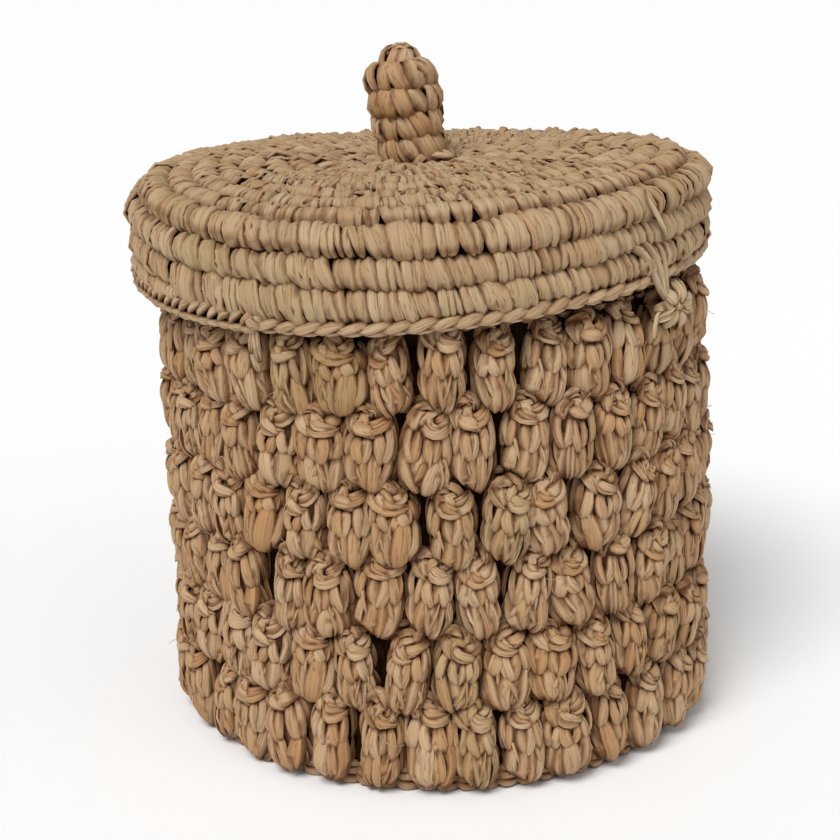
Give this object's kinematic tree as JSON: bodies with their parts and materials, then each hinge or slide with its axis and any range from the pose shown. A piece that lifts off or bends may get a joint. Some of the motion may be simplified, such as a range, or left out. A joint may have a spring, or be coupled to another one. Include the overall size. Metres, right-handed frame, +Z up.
{
  "type": "lidded crocheted raffia basket",
  "caption": "Round raffia basket with a wall of popcorn stitches and a coiled lid that is tied on at one side, folds back on that tie and is lifted by a wound knob.",
  "frame": {"origin": "on the standing surface, under the middle of the whole outline", "axes": "+Z up through the lid and its knob, +X to the right of the pictured front, where the tie is, -Y towards the viewer"},
  "size_m": [0.218, 0.2113, 0.2507],
  "materials": {
    "wall_raffia": "dyed straw, dry sheen, crocheted",
    "lid_raffia": "pale straw, dry sheen, crocheted over a cord",
    "tie_raffia": "single flat strands, glossy straw"
  },
  "bodies": {
    "basket": {"base_disc": "wall_raffia", "base_round": "wall_raffia", "popcorn_round_1": "wall_raffia", "popcorn_round_2": "wall_raffia", "popcorn_round_3": "wall_raffia", "popcorn_round_4": "wall_raffia", "popcorn_round_5": "wall_raffia", "popcorn_round_6": "wall_raffia", "shoulder_round": "wall_raffia", "neck_band": "wall_raffia", "rim_round": "wall_raffia", "hinge_tie": "tie_raffia", "tie_knot": "tie_raffia"},
    "lid": {"lid_crown_coil": "lid_raffia", "lid_skirt_coil": "lid_raffia", "lid_eye": "lid_raffia", "lid_edging": "lid_raffia", "edging_knot": "lid_raffia", "knob_coil": "lid_raffia", "knob_core": "lid_raffia", "knob_collar": "lid_raffia", "knob_cap": "lid_raffia"}
  },
  "joints": [
    {"name": "lid_hinge", "type": "hinge", "parent": "basket", "child": "lid", "pos_m": [0.0823, -0.0659, 0.1745], "axis": [0.6088, 0.7934, 0], "range_deg": [0, 110], "deforming": ["hinge_tie"]}
  ]
}
